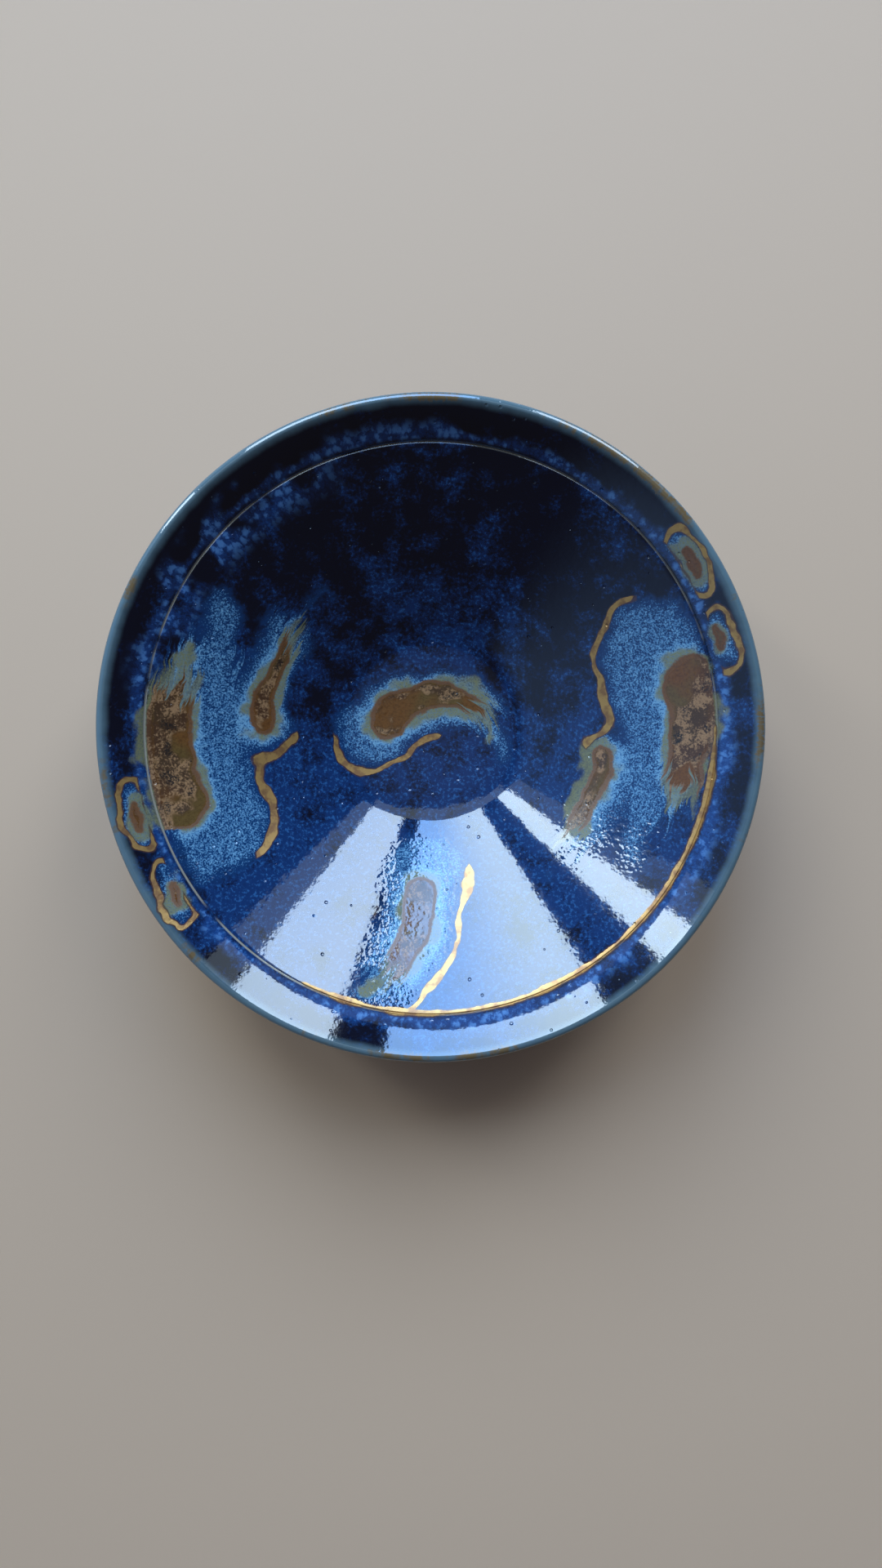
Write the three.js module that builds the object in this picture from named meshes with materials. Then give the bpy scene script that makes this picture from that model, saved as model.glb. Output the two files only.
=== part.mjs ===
// A thrown stoneware bowl: a dished floor, a straight conical well, then one
// incised line where the well turns up into a steeper, flaring rim band. It
// stands on a short turned foot ring.
// Millimetres, +Z up, origin on the ground at the middle of the foot.
import * as THREE from "three";

// Rim and lip
const rimDiameter = 270;
const bowlHeight = 78;
const lipThickness = 4.4;
const bandLipSlopeDeg = 32; // the rim band where it meets the lip
const bandLineSlopeDeg = 48; // the rim band just outside the line

// Incised line
const lineDiameter = 236;
const lineWidth = 1.4;
const lineDepth = 0.7;

// Well and floor
const wellSlopeDeg = 30; // the well's side, above the horizontal
const floorDiameter = 85; // where the floor turns up into the well
const floorEdgeSlopeDeg = 12; // the dished floor at that turn
const floorTurn = 4; // length of the turn on each side

// Outside wall
const wallThickness = 7.5; // square to the wall
const underLipSlopeDeg = 60; // the wall just under the lip
const wallBend = 30; // length over which the straight wall starts to bend up

// Foot
const footDiameter = 93;
const footDrawIn = 2.5; // the foot is narrower where it meets the wall
const footFillet = 7;
const footRingWidth = 8;
const footEdgeRound = 1.2;
const recessDepth = 8.5; // hollow under the foot
const recessRound = 4;

// Facets
const turnSegments = 96;
const curveSteps = 4;

// Glaze colour of the plain model
const glazeColour = 0x14264f;

const radians = THREE.MathUtils.degToRad;
const wellSlope = radians(wellSlopeDeg);
const bandLipSlope = radians(bandLipSlopeDeg);
const bandLineSlope = radians(bandLineSlopeDeg);
const floorEdgeSlope = radians(floorEdgeSlopeDeg);
const underLipSlope = radians(underLipSlopeDeg);
const lineRadius = lineDiameter / 2;
const lipRadius = lipThickness / 2;
const quarterTurn = Math.PI / 2;

// A point a given length along a slope from another point.
function along(point, slope, length) {
  return new THREE.Vector2(
    point.x + length * Math.cos(slope),
    point.y + length * Math.sin(slope),
  );
}

// The lip is a bead; wall and rim band leave it at their own slopes.
const lipCentre = new THREE.Vector2(rimDiameter / 2 - lipRadius, bowlHeight - lipRadius);
const wallTop = along(lipCentre, underLipSlope - quarterTurn, lipRadius);
const bandTop = along(lipCentre, bandLipSlope + quarterTurn, lipRadius);

// The rim band is one curve whose ends keep their slopes.
const bandHalfRun = (bandTop.x - lineRadius) / 2;
const bandControl = new THREE.Vector2(
  bandTop.x - bandHalfRun,
  bandTop.y - bandHalfRun * Math.tan(bandLipSlope),
);
const lineHeight = bandControl.y - bandHalfRun * Math.tan(bandLineSlope);

// Heights of the well's cone and of the wall's outside at a radius.
function wellHeight(radius) {
  return lineHeight - (lineRadius - radius) * Math.tan(wellSlope);
}
function wallHeight(radius) {
  return wellHeight(radius) - wallThickness / Math.cos(wellSlope);
}

// A curve that rounds the corner off between two points.
function round(profile, corner, end) {
  profile.quadraticCurveTo(corner.x, corner.y, end.x, end.y);
}

// Underside: flat hollow, then the inside of the foot ring.
function drawRecess(profile) {
  const ringInner = footDiameter / 2 - footRingWidth;
  profile.moveTo(0, recessDepth);
  profile.lineTo(ringInner - recessRound, recessDepth);
  profile.quadraticCurveTo(ringInner, recessDepth, ringInner, recessDepth - recessRound);
  profile.lineTo(ringInner, footEdgeRound);
  profile.quadraticCurveTo(ringInner, 0, ringInner + footEdgeRound, 0);
}

// Flat ring on the ground, then the foot draws in and turns out into the wall.
function drawFoot(profile) {
  const footRadius = footDiameter / 2;
  const cornerRadius = footRadius - footDrawIn;
  const corner = new THREE.Vector2(cornerRadius, wallHeight(cornerRadius));
  const sideSlope = Math.atan2(corner.y - footEdgeRound, corner.x - footRadius);
  const filletStart = along(corner, sideSlope, -footFillet);
  profile.lineTo(footRadius - footEdgeRound, 0);
  profile.quadraticCurveTo(footRadius, 0, footRadius, footEdgeRound);
  profile.lineTo(filletStart.x, filletStart.y);
  round(profile, corner, along(corner, wellSlope, footFillet));
}

// Outside wall: parallel to the well, then it bends up to meet the lip.
function drawWall(profile) {
  const rise = wallHeight(0) - wallTop.y + wallTop.x * Math.tan(underLipSlope);
  const cornerRadius = rise / (Math.tan(underLipSlope) - Math.tan(wellSlope));
  const corner = new THREE.Vector2(cornerRadius, wallHeight(cornerRadius));
  const bendStart = along(corner, wellSlope, -wallBend);
  profile.lineTo(bendStart.x, bendStart.y);
  round(profile, corner, wallTop);
}

// Round lip, then the flaring band down to the outer edge of the line.
function drawRim(profile) {
  const lipStart = underLipSlope - quarterTurn;
  const lipEnd = bandLipSlope + quarterTurn;
  profile.absarc(lipCentre.x, lipCentre.y, lipRadius, lipStart, lipEnd, false);
  const bandEnd = along(
    new THREE.Vector2(lineRadius, lineHeight),
    bandLineSlope,
    lineWidth / 2,
  );
  round(profile, bandControl, bandEnd);
}

// Incised line, straight well, and the dished floor in to the axis.
function drawWell(profile) {
  const line = new THREE.Vector2(lineRadius, lineHeight);
  const wellTop = along(line, wellSlope, -lineWidth / 2);
  profile.lineTo(line.x, line.y - lineDepth);
  profile.lineTo(wellTop.x, wellTop.y);

  const floorRadius = floorDiameter / 2;
  const corner = new THREE.Vector2(floorRadius, wellHeight(floorRadius));
  const wellFoot = along(corner, wellSlope, floorTurn);
  const floorEdge = along(corner, floorEdgeSlope, -floorTurn);
  profile.lineTo(wellFoot.x, wellFoot.y);
  round(profile, corner, floorEdge);

  const dishControl = new THREE.Vector2(
    floorEdge.x / 2,
    floorEdge.y - (floorEdge.x / 2) * Math.tan(floorEdgeSlope),
  );
  round(profile, dishControl, new THREE.Vector2(0, dishControl.y));
}

// The whole outline, from the axis under the foot round to the axis in the well.
function bowlOutline() {
  const profile = new THREE.Path();
  drawRecess(profile);
  drawFoot(profile);
  drawWall(profile);
  drawRim(profile);
  drawWell(profile);
  return profile.getPoints(curveSteps);
}

const glaze = new THREE.MeshStandardMaterial({
  color: glazeColour,
  roughness: 0.15,
  metalness: 0,
});

const bowl = new THREE.Mesh(new THREE.LatheGeometry(bowlOutline(), turnSegments), glaze);
bowl.name = "bowl";
bowl.rotation.x = quarterTurn; // the lathe turns about Y

const part = new THREE.Group();
part.add(bowl);

export default part;
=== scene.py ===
import math
import bmesh
import bpy
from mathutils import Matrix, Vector, noise


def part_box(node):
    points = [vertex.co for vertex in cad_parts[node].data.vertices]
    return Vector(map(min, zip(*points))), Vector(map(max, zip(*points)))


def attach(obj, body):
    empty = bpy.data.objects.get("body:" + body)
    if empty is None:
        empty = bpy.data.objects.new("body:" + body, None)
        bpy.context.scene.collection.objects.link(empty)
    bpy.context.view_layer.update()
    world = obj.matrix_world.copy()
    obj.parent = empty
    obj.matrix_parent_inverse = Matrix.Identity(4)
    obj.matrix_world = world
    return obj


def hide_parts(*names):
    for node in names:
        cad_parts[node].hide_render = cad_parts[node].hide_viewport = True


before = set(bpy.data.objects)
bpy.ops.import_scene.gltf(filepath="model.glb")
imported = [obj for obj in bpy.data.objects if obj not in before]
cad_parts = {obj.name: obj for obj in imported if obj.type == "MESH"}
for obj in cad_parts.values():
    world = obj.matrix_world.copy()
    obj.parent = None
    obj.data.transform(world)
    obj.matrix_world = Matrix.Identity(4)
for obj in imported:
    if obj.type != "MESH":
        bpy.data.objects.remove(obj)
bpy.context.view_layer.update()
bowlLow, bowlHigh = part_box("bowl")
mm = 0.001  # the sizes below are in millimetres
print("frame loaded, bowl is", [round(side / mm, 1) for side in bowlHigh - bowlLow], "mm")


# Bowl form

insideSlot, outsideSlot = 0, 1  # material slots
bowlForm = {
    "rimRadius": (bowlHigh.x - bowlLow.x) / 2 / mm,
    "height": bowlHigh.z / mm,
    "lipRadius": 2.2,
    "underLipSlope": 60,  # slopes are in degrees above the horizontal
    "bandLipSlope": 32,
    "bandLineSlope": 48,
    "lineRadius": 118,
    "lineWidth": 1.2,
    "lineDepth": 0.6,
    "lineRounding": 0.4,  # of half its width
    "wellSlope": 30,
    "floorRadius": 42.5,
    "floorEdgeSlope": 12,
    "floorTurn": 4,
    "wallThickness": 7.5,
    "footRadius": 46.5,
    "footDrawIn": 2.5,
    "footFillet": 7,
    "footRingWidth": 8,
    "footEdge": 1.2,
    "recessDepth": 8.5,
    "recessRound": 4,
    "lipGap": 0.1,  # left straight between the wall's bend and the lip
    "turnGap": 0.4,  # left straight between two roundings inside
    "weld": 0.02,  # points closer than this become one
    "turns": 256,  # faces round the bowl
    "faceLength": 1.5,  # faces along the outline
}


def slope(degrees):
    return math.tan(math.radians(degrees))


def along(point, degrees, length):
    turn = math.radians(degrees)
    return (point[0] + length * math.cos(turn), point[1] + length * math.sin(turn))


def bowlPoints(form):
    points = {}
    lip = form["lipRadius"]
    centre = (form["rimRadius"] - lip, form["height"] - lip)
    points["lipCentre"] = centre
    points["wallTop"] = along(centre, form["underLipSlope"] - 90, lip)
    points["lipCrest"] = (centre[0], centre[1] + lip)
    points["bandTop"] = along(centre, form["bandLipSlope"] + 90, lip)
    halfRun = (points["bandTop"][0] - form["lineRadius"]) / 2
    bandMiddle = (points["bandTop"][0] - halfRun,
                  points["bandTop"][1] - halfRun * slope(form["bandLipSlope"]))
    points["bandMiddle"] = bandMiddle
    line = (form["lineRadius"], bandMiddle[1] - halfRun * slope(form["bandLineSlope"]))
    points["line"] = line

    def wellHeight(radius):
        return line[1] - (line[0] - radius) * slope(form["wellSlope"])

    def wallHeight(radius):
        return wellHeight(radius) - form["wallThickness"] / math.cos(math.radians(form["wellSlope"]))

    points["floorTurn"] = (form["floorRadius"], wellHeight(form["floorRadius"]))
    dishEdge = along(points["floorTurn"], form["floorEdgeSlope"], -form["floorTurn"])
    dishHeight = dishEdge[1] - dishEdge[0] / 2 * slope(form["floorEdgeSlope"])
    points["dishMiddle"] = (dishEdge[0] / 2, dishHeight)
    points["dishCentre"] = (0, dishHeight)
    footCorner = form["footRadius"] - form["footDrawIn"]
    points["footCorner"] = (footCorner, wallHeight(footCorner))
    wallTop = points["wallTop"]
    steep = slope(form["underLipSlope"])
    rise = wallHeight(0) - wallTop[1] + wallTop[0] * steep
    bendAt = rise / (steep - slope(form["wellSlope"]))
    points["wallCorner"] = (bendAt, wallHeight(bendAt))
    return points


def drawTo(bm, last, point):
    end = bmesh.ops.extrude_vert_indiv(bm, verts=[last])["verts"][0]
    end.co = (point[0], 0, point[1])
    return end


def swing(bm, last, centre, degrees, steps):
    swept = bmesh.ops.spin(
        bm, geom=[last], cent=(centre[0], 0, centre[1]), axis=(0, -1, 0),
        dvec=(0, 0, 0), angle=math.radians(degrees), steps=steps)
    return [item for item in swept["geom_last"] if isinstance(item, bmesh.types.BMVert)][0]


def soften(bm, corner, reach, steps):
    bmesh.ops.bevel(
        bm, geom=[corner], offset=reach, offset_type="OFFSET", segments=steps,
        profile=0.5, affect="VERTICES", material=-1)


# From the middle of the hollow under the foot, round the foot and up the wall to the lip's crest.
def outsideOutline(form, points):
    bm = bmesh.new()
    ringInner = form["footRadius"] - form["footRingWidth"]
    pen = bm.verts.new((0, 0, form["recessDepth"]))
    recess = pen = drawTo(bm, pen, (ringInner, form["recessDepth"]))
    innerEdge = pen = drawTo(bm, pen, (ringInner, 0))
    outerEdge = pen = drawTo(bm, pen, (form["footRadius"], 0))
    foot = pen = drawTo(bm, pen, points["footCorner"])
    wall = pen = drawTo(bm, pen, points["wallCorner"])
    pen = drawTo(bm, pen, points["wallTop"])
    swing(bm, pen, points["lipCentre"], 180 - form["underLipSlope"], steps=10)
    wallReach = (Vector(points["wallTop"]) - Vector(points["wallCorner"])).length - form["lipGap"]
    soften(bm, recess, form["recessRound"], steps=6)
    soften(bm, innerEdge, form["footEdge"], steps=5)
    soften(bm, outerEdge, form["footEdge"], steps=5)
    soften(bm, foot, form["footFillet"], steps=12)
    soften(bm, wall, wallReach, steps=14)
    return bm


# From the lip's crest down the rim band, over the line and down the well to the middle of the floor.
def insideOutline(form, points):
    bm = bmesh.new()
    line = points["line"]
    half = form["lineWidth"] / 2
    pen = bm.verts.new((points["lipCrest"][0], 0, points["lipCrest"][1]))
    pen = swing(bm, pen, points["lipCentre"], form["bandLipSlope"], steps=6)
    band = pen = drawTo(bm, pen, points["bandMiddle"])
    lineOuter = pen = drawTo(bm, pen, along(line, form["bandLineSlope"], half))
    lineBottom = pen = drawTo(bm, pen, (line[0], line[1] - form["lineDepth"]))
    lineInner = pen = drawTo(bm, pen, along(line, form["wellSlope"], -half))
    floor = pen = drawTo(bm, pen, points["floorTurn"])
    dish = pen = drawTo(bm, pen, points["dishMiddle"])
    drawTo(bm, pen, points["dishCentre"])
    bandReach = (Vector(lineOuter.co) - band.co).length - form["turnGap"]
    soften(bm, band, bandReach, steps=16)
    for corner in (lineOuter, lineBottom, lineInner):
        soften(bm, corner, half * form["lineRounding"], steps=3)
    soften(bm, floor, form["floorTurn"], steps=8)
    soften(bm, dish, points["dishMiddle"][0] - form["turnGap"], steps=14)
    return bm


def turnedSkin(bm, form, slotIndex):
    for edge in bm.edges[:]:
        cuts = int(edge.calc_length() / form["faceLength"])
        if cuts:
            bmesh.ops.subdivide_edges(bm, edges=[edge], cuts=cuts)
    bmesh.ops.spin(
        bm, geom=bm.verts[:] + bm.edges[:], cent=(0, 0, 0), axis=(0, 0, 1),
        dvec=(0, 0, 0), angle=math.tau, steps=form["turns"], use_merge=True)
    for face in bm.faces:
        face.material_index = slotIndex
    skin = bpy.data.meshes.new("skin")
    bm.to_mesh(skin)
    bm.free()
    return skin


# Marks of the hand: the outside has shallow throwing rings, the hollow under the
# foot has turning lines, and the glaze ends in a soft roll.
handMarks = {
    "sway": 0.14,  # slow unevenness of the whole form
    "swaySize": 60,
    "swayHeights": (20, 60),  # it starts and is full at these heights
    "ringDepth": 0.09,
    "ringPitch": 6.5,
    "ringsStart": (50, 60),  # radii between which the rings set in
    "ringsEnd": (128, 118),
    "turningDepth": 0.05,
    "turningPitch": 2.6,
    "glazeEdge": 7.0,  # height of the glaze's lower edge on the foot
    "glazeEdgeWander": 2.4,
    "glazeEdgeWaves": 2.3,
    "glazeEdgeStart": (4.1, 1.7, 0),
    "glazeThickness": 0.35,
    "glazeRise": (-0.3, 0.5),  # heights over its edge between which the glaze thickens
    "glazeFade": (60, 30),  # heights between which it thins up the wall
    "glazeRoll": 0.3,
    "rollHeight": 0.7,
    "rollWidth": 0.8,
    "farFromEdge": 20,  # stands for well above the glaze's edge, or below zero well under it
    "flush": 0.1,
}


def glazeEdgeHeight(place, marks):
    flat = Vector((place.x, place.y, 0)).normalized()
    wave = noise.noise(flat * marks["glazeEdgeWaves"] + Vector(marks["glazeEdgeStart"]))
    return marks["glazeEdge"] + marks["glazeEdgeWander"] * wave


def smooth(value, low, high):
    share = min(max((value - low) / (high - low), 0), 1)
    return share * share * (3 - 2 * share)


def markByHand(bm, form, marks):
    aboveEdge = bm.verts.layers.float.new("aboveGlazeEdge")
    moves = []
    for vert in bm.verts:
        place = vert.co
        radius = math.hypot(place.x, place.y)
        outside = any(face.material_index == outsideSlot for face in vert.link_faces)
        push = marks["sway"] * noise.noise(place / marks["swaySize"]) * smooth(place.z, *marks["swayHeights"])
        vert[aboveEdge] = marks["farFromEdge"]
        if outside:
            withinRing = radius < form["footRadius"] - form["footEdge"]
            underFoot = withinRing and place.z < form["recessDepth"] + marks["flush"]
            above = -marks["farFromEdge"] if underFoot else place.z - glazeEdgeHeight(place, marks)
            vert[aboveEdge] = above
            if underFoot and place.z > form["recessDepth"] - marks["flush"]:
                push += marks["turningDepth"] * math.sin(math.tau * radius / marks["turningPitch"])
            elif not underFoot:
                thick = smooth(above, *marks["glazeRise"])
                push += marks["glazeThickness"] * thick * smooth(place.z, *marks["glazeFade"])
                roll = math.exp(-((above - marks["rollHeight"]) / marks["rollWidth"]) ** 2)
                push += marks["glazeRoll"] * roll
                turn = math.atan2(place.y, place.x)
                ring = math.sin(math.tau * radius / marks["ringPitch"] + turn)
                onWall = smooth(radius, *marks["ringsStart"]) * smooth(radius, *marks["ringsEnd"])
                push += marks["ringDepth"] * ring * onWall
        moves.append((vert, vert.normal * push))
    for vert, move in moves:
        vert.co += move


def makeBowl(form, marks):
    points = bowlPoints(form)
    inside = turnedSkin(insideOutline(form, points), form, insideSlot)
    outside = turnedSkin(outsideOutline(form, points), form, outsideSlot)
    bm = bmesh.new()
    bm.from_mesh(inside)
    bm.from_mesh(outside)
    bpy.data.meshes.remove(inside)
    bpy.data.meshes.remove(outside)
    bmesh.ops.remove_doubles(bm, verts=bm.verts, dist=form["weld"])
    bmesh.ops.recalc_face_normals(bm, faces=bm.faces)
    bm.normal_update()
    markByHand(bm, form, marks)
    bmesh.ops.scale(bm, vec=(mm, mm, mm), verts=bm.verts)
    for face in bm.faces:
        face.smooth = True
    mesh = bpy.data.meshes.new("glazedBowl")
    bm.to_mesh(mesh)
    openEdges = sum(1 for edge in bm.edges if not edge.is_manifold)
    print("bowl mesh:", len(bm.verts), "vertices,", len(bm.faces), "faces,", openEdges, "open edges")
    bm.free()
    bowl = bpy.data.objects.new("glazedBowl", mesh)
    bpy.context.scene.collection.objects.link(bowl)
    return bowl


# Node helpers

def put(tree, kind, **settings):
    node = tree.nodes.new(kind)
    for name, value in settings.items():
        setattr(node, name, value)
    return node


def feed(tree, socket, value):
    if isinstance(value, bpy.types.NodeSocket):
        tree.links.new(value, socket)
    else:
        socket.default_value = value


def calc(tree, operation, *values):
    node = put(tree, "ShaderNodeMath", operation=operation)
    for socket, value in zip(node.inputs, values):
        feed(tree, socket, value)
    return node.outputs[0]


def times(tree, first, second):
    return calc(tree, "MULTIPLY", first, second)


def plus(tree, first, second):
    return calc(tree, "ADD", first, second)


def minus(tree, first, second):
    return calc(tree, "SUBTRACT", first, second)


def vectorCalc(tree, operation, *values):
    node = put(tree, "ShaderNodeVectorMath", operation=operation)
    for socket, value in zip(node.inputs, values):
        feed(tree, socket, value)
    return node.outputs["Value" if operation in ("LENGTH", "DOT_PRODUCT", "DISTANCE") else "Vector"]


def enlarge(tree, vector, factor):
    node = put(tree, "ShaderNodeVectorMath", operation="SCALE")
    feed(tree, node.inputs[0], vector)
    feed(tree, node.inputs["Scale"], factor)
    return node.outputs["Vector"]


# Low may be the larger number: the result then falls as the value rises.
def between(tree, value, low, high, toLow=0.0, toHigh=1.0):
    node = put(tree, "ShaderNodeMapRange", interpolation_type="SMOOTHSTEP")
    for socket, item in zip(node.inputs, (value, low, high, toLow, toHigh)):
        feed(tree, socket, item)
    return node.outputs[0]


# A Mix node has sockets for each kind of data: two values and a result.
mixSockets = {"FLOAT": (2, 3, 0), "VECTOR": (4, 5, 1), "RGBA": (6, 7, 2)}


def mix(tree, kind, share, under, over):
    node = put(tree, "ShaderNodeMix", data_type=kind)
    first, second, result = mixSockets[kind]
    feed(tree, node.inputs[0], share)
    feed(tree, node.inputs[first], under)
    feed(tree, node.inputs[second], over)
    return node.outputs[result]


def tint(tree, share, under, over):
    return mix(tree, "RGBA", share, under, over)


def lean(tree, share, under, over):
    return mix(tree, "FLOAT", share, under, over)


def cloud(tree, place, size, detail=2.0, rough=0.5, colour=False):
    node = put(tree, "ShaderNodeTexNoise")
    feed(tree, node.inputs["Vector"], place)
    node.inputs["Scale"].default_value = 1 / size
    node.inputs["Detail"].default_value = detail
    node.inputs["Roughness"].default_value = rough
    return node.outputs["Color" if colour else 0]


# A cloud lies round 0.5, so this moves the value up and down.
def noisy(tree, value, texture, amount):
    return plus(tree, value, times(tree, minus(tree, texture, 0.5), amount))


def swayed(tree, place, size, detail, rough=0.5):
    return vectorCalc(tree, "SUBTRACT", cloud(tree, place, size, detail, rough, True), (0.5, 0.5, 0.5))


def newGroup(name, inputs, outputs):
    tree = bpy.data.node_groups.new(name, "ShaderNodeTree")
    for direction, sockets in (("INPUT", inputs), ("OUTPUT", outputs)):
        for label, kind in sockets.items():
            tree.interface.new_socket(label, in_out=direction, socket_type="NodeSocket" + kind)
    return tree, put(tree, "NodeGroupInput").outputs, put(tree, "NodeGroupOutput").inputs


def useGroup(tree, group, **values):
    node = put(tree, "ShaderNodeGroup", node_tree=group)
    for label, value in values.items():
        feed(tree, node.inputs[label], value)
    return node.outputs


# Shared effects

# Where a point lies on the bowl. The flow is unrolled round a ring and drawn
# together outwards, so a texture on it is longer outwards than around.
glazeFlow = {"ringRadius": 110, "outward": 0.45}


def bowlPlaceGroup():
    tree, given, result = newGroup(
        "bowlPlace", {"coordinates": "Vector"},
        {"place": "Vector", "plan": "Vector", "radius": "Float", "height": "Float", "flow": "Vector"})
    place = enlarge(tree, given["coordinates"], 1 / mm)
    plan = vectorCalc(tree, "MULTIPLY", place, (1, 1, 0))
    split = put(tree, "ShaderNodeSeparateXYZ")
    feed(tree, split.inputs[0], place)
    radius = vectorCalc(tree, "LENGTH", plan)
    outward = vectorCalc(tree, "NORMALIZE", plan)
    join = put(tree, "ShaderNodeCombineXYZ")
    feed(tree, join.inputs[2], times(tree, radius, glazeFlow["outward"]))
    flow = vectorCalc(tree, "ADD", enlarge(tree, outward, glazeFlow["ringRadius"]), join.outputs[0])
    feed(tree, result["place"], place)
    feed(tree, result["plan"], plan)
    feed(tree, result["radius"], radius)
    feed(tree, result["height"], split.outputs[2])
    feed(tree, result["flow"], flow)
    return tree


# Cobalt glaze: near black where it lies thick, a grainy blue where it thins.
cobaltGlaze = {
    "night": (0.0010, 0.0028, 0.0100, 1),
    "cobalt": (0.0030, 0.0250, 0.0950, 1),
    "bright": (0.0200, 0.0950, 0.2400, 1),
    "cloudSize": 38,
    "mottleSize": 10,
    "grainSize": 1.5,
    "cloudShare": 0.27,
    "mottleShare": 0.45,
    "grainShare": 0.28,
    "thinning": (0.40, 0.57),  # where night turns to cobalt
    "brightGrains": (0.50, 0.68),
    "brightThinning": (0.46, 0.60),
    "brightShare": 0.8,
}


def cobaltGroup(glaze):
    tree, given, result = newGroup(
        "cobaltMottle", {"place": "Vector", "thickness": "Float"}, {"colour": "Color"})
    broad = cloud(tree, given["place"], glaze["cloudSize"], 1)
    mottle = cloud(tree, given["place"], glaze["mottleSize"], 3, 0.6)
    grain = cloud(tree, given["place"], glaze["grainSize"], 2, 0.7)
    mixed = plus(tree, times(tree, broad, glaze["cloudShare"]), times(tree, mottle, glaze["mottleShare"]))
    mixed = plus(tree, mixed, times(tree, grain, glaze["grainShare"]))
    thin = minus(tree, mixed, given["thickness"])
    base = tint(tree, between(tree, thin, *glaze["thinning"]), glaze["night"], glaze["cobalt"])
    lit = times(tree, between(tree, grain, *glaze["brightGrains"]),
                between(tree, thin, *glaze["brightThinning"]))
    lit = times(tree, lit, glaze["brightShare"])
    feed(tree, result["colour"], tint(tree, lit, base, glaze["bright"]))
    return tree


lipGlaze = {
    "thin": (0.096, 0.150, 0.172, 1),
    "breaking": (0.140, 0.088, 0.040, 1),
    "crest": (0.9, 0.5),  # where the glaze is thinnest: outwards and upwards from the lip's middle
    "reach": (4.5, 1.2),  # how far from there it starts to thin and is thin
    "reachWander": 1.4,
    "wanderSize": 6,
    "breakHeights": (1.3, 2.1),  # above the lip's middle
    "breakRagged": 2.4,
    "raggedSize": 1.1,
    "patchSize": 34,
    "patches": (0.52, 0.60),
}


def lipGroup(lip, points):
    tree, given, result = newGroup(
        "lipBreak", {"colour": "Color", "radius": "Float", "height": "Float", "flow": "Vector"},
        {"colour": "Color"})
    thinnest = points["lipCentre"][0] + lip["crest"][0]
    upward = minus(tree, given["height"], points["lipCentre"][1])
    join = put(tree, "ShaderNodeCombineXYZ")
    feed(tree, join.inputs[0], minus(tree, given["radius"], thinnest))
    feed(tree, join.inputs[1], minus(tree, upward, lip["crest"][1]))
    away = vectorCalc(tree, "LENGTH", join.outputs[0])
    away = noisy(tree, away, cloud(tree, given["flow"], lip["wanderSize"], 3), lip["reachWander"])
    thin = tint(tree, between(tree, away, *lip["reach"]), given["colour"], lip["thin"])
    ragged = cloud(tree, given["flow"], lip["raggedSize"], 2, 0.75)
    crest = between(tree, noisy(tree, upward, ragged, lip["breakRagged"]), *lip["breakHeights"])
    patches = between(tree, cloud(tree, given["flow"], lip["patchSize"], 5, 0.75), *lip["patches"])
    breaking = times(tree, crest, patches)
    feed(tree, result["colour"], tint(tree, breaking, thin, lip["breaking"]))
    return tree


glazePits = {
    "spacing": 5.2,
    "size": 0.65,
    "share": 0.4,  # how many of the places have a pit
    "fleckSpacing": 7,
    "fleckSize": 0.30,
    "fleckShare": 0.45,
    "fleckAside": (31, 17, 5),  # keeps the flecks off the pits
    "fleck": (0.26, 0.32, 0.38, 1),
}


def spotMask(tree, place, spacing, size, share):
    spots = put(tree, "ShaderNodeTexVoronoi", feature="F1")
    feed(tree, spots.inputs["Vector"], place)
    spots.inputs["Scale"].default_value = 1 / spacing
    apart = times(tree, spots.outputs["Distance"], spacing)
    split = put(tree, "ShaderNodeSeparateColor")
    feed(tree, split.inputs[0], spots.outputs["Color"])
    chosen = calc(tree, "LESS_THAN", split.outputs[0], share)
    # each spot is half to one and a half times the size
    own = times(tree, plus(tree, split.outputs[1], 0.5), size)
    return times(tree, chosen, between(tree, apart, own, times(tree, own, 0.4)))


def pitsGroup(pits):
    tree, given, result = newGroup("glazePits", {"place": "Vector"}, {"pits": "Float", "flecks": "Float"})
    feed(tree, result["pits"], spotMask(tree, given["place"], pits["spacing"], pits["size"], pits["share"]))
    aside = vectorCalc(tree, "ADD", given["place"], pits["fleckAside"])
    flecks = spotMask(tree, aside, pits["fleckSpacing"], pits["fleckSize"], pits["fleckShare"])
    feed(tree, result["flecks"], flecks)
    return tree


# A path on the plan of the bowl: how far a point lies beside it and along it.
def arcGroup():
    tree, given, result = newGroup(
        "arcPath", {"plan": "Vector", "at": "Vector", "aim": "Vector", "bend": "Float"},
        {"across": "Float", "along": "Float"})
    turned = put(tree, "ShaderNodeMapping", vector_type="TEXTURE")
    feed(tree, turned.inputs["Vector"], given["plan"])
    feed(tree, turned.inputs["Location"], given["at"])
    feed(tree, turned.inputs["Rotation"], given["aim"])
    split = put(tree, "ShaderNodeSeparateXYZ")
    feed(tree, split.inputs[0], turned.outputs[0])
    toCentre = minus(tree, given["bend"], split.outputs[1])
    side = calc(tree, "SIGN", given["bend"])
    join = put(tree, "ShaderNodeCombineXYZ")
    feed(tree, join.inputs[0], split.outputs[0])
    feed(tree, join.inputs[1], toCentre)
    away = vectorCalc(tree, "LENGTH", join.outputs[0])
    turn = calc(tree, "ARCTAN2", times(tree, split.outputs[0], side), times(tree, toCentre, side))
    feed(tree, result["across"], minus(tree, away, calc(tree, "ABSOLUTE", given["bend"])))
    feed(tree, result["along"], times(tree, turn, given["bend"]))
    return tree


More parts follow.
